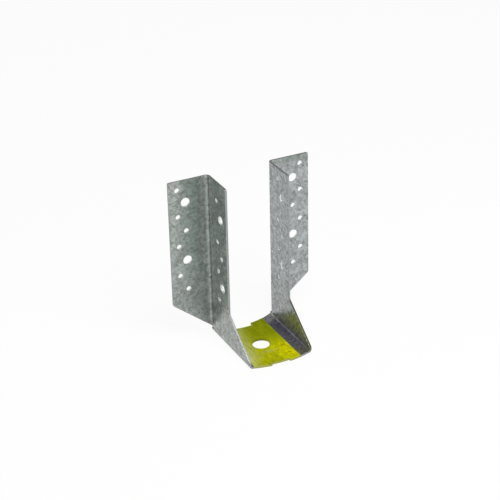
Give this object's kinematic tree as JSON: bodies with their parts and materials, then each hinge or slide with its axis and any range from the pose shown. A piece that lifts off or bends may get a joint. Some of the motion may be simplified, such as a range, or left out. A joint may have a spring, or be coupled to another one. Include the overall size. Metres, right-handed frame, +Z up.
{
  "type": "joist hanger",
  "caption": "Folded sheet-steel joist hanger with a seat, two punched cheeks, outward header flanges and a thin coloured film on the seat.",
  "frame": {"origin": "middle of the hanger's box, on the plane that the seat's underside lies in", "axes": "+Z up, +Y towards the header that the flanges lie against, +X to the right when seen from the joist"},
  "size_m": [0.142, 0.0842, 0.163],
  "materials": {
    "galvanised_sheet": "hot-dip galvanised, with a faint spangle",
    "yellow_film": "thin yellow film, slightly worn"
  },
  "bodies": {
    "root": {"hanger": "galvanised_sheet", "seat_label": "yellow_film"}
  },
  "joints": []
}
